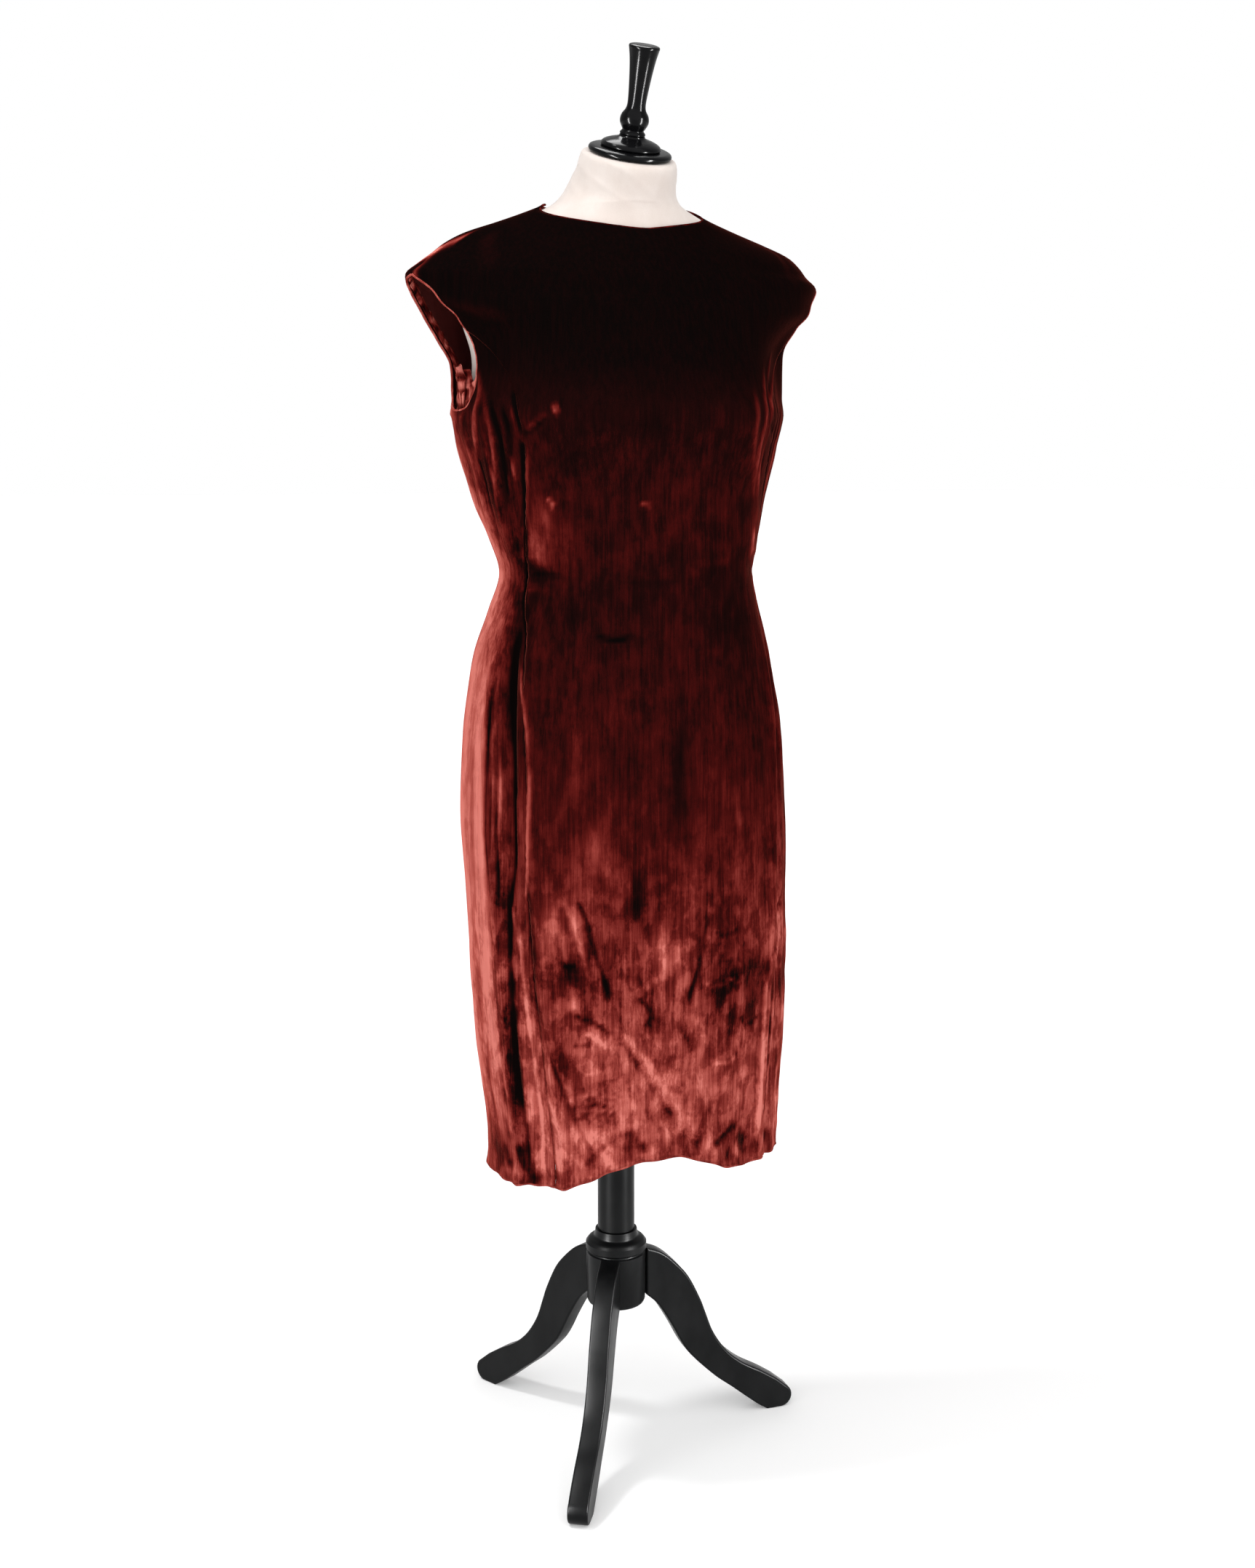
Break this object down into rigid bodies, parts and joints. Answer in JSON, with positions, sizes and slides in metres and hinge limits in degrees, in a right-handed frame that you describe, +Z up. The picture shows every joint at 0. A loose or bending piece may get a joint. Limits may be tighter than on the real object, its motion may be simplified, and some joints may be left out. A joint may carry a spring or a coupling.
{
  "type": "cocktail dress on a dress form",
  "caption": "Knee-length velvet sheath dress with cap sleeves and a boat neck, zipped at the back, on a limbless dress form with a turned neck cap, pole and tripod base.",
  "frame": {"origin": "on the floor, under the centre of the tripod base", "axes": "+Z up the pole to the finial; the dress faces -Y; +X is the wearer's left"},
  "size_m": [0.456, 0.3752, 1.4865],
  "materials": {
    "velvet": "dark rust velvet, crushed nap",
    "jersey": "cream jersey, matt",
    "lacquer": "black lacquer, gloss",
    "black_paint": "black paint, satin",
    "zip_metal": "enamelled dark red, satin"
  },
  "bodies": {
    "stand": {"pole": "black_paint", "hub": "black_paint", "leg_1": "black_paint", "leg_2": "black_paint", "leg_3": "black_paint"},
    "form": {"form_torso": "jersey", "neck_cap_disc": "lacquer", "neck_cap_dome": "lacquer", "finial": "lacquer", "dress_front": "velvet", "dress_back_left": "velvet", "dress_back_right": "velvet", "armhole_band_left": "velvet", "armhole_band_right": "velvet", "zip_slider": "zip_metal"},
    "zip_pull": {"zip_pull": "zip_metal"}
  },
  "joints": [
    {"name": "form_swivel", "type": "hinge", "parent": "stand", "child": "form", "pos_m": [0, -0.008, 0.65], "axis": [0, 0, 1], "continuous": true},
    {"name": "zip_pull_hinge", "type": "hinge", "parent": "form", "child": "zip_pull", "pos_m": [0, 0.07237, 1.3264], "axis": [1, 0, 0], "range_deg": [0, 140]}
  ]
}
